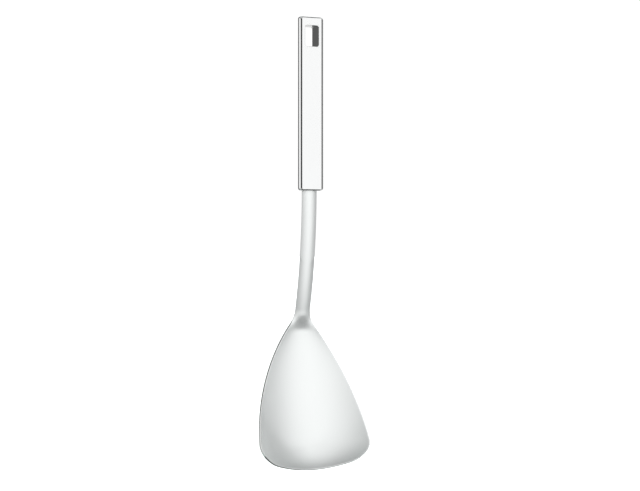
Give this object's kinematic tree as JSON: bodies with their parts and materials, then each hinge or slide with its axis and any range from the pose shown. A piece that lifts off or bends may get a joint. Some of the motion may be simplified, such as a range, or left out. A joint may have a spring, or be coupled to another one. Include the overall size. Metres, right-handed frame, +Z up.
{
  "type": "wok spatula",
  "caption": "Stainless steel wok spatula with a broad dished blade on a bowed, crowned shank and a hollow flat-fronted handle with a hanging slot.",
  "frame": {"origin": "middle of the hanging slot's upper inner face, where a hook bears, at half the handle's depth", "axes": "+Z up along the handle as the spatula hangs, -Y towards the flat front of the handle and the hollow side of the blade, +X across to the right seen from that front"},
  "size_m": [0.098, 0.0342, 0.3678],
  "materials": {
    "satin_steel": "fine satin",
    "polished_steel": "mirror polished"
  },
  "bodies": {
    "root": {"blade_and_shank": "satin_steel", "handle_tube": "polished_steel", "handle_top_cap": "polished_steel", "handle_bottom_cap": "polished_steel", "hanging_slot_sleeve": "polished_steel"}
  },
  "joints": []
}
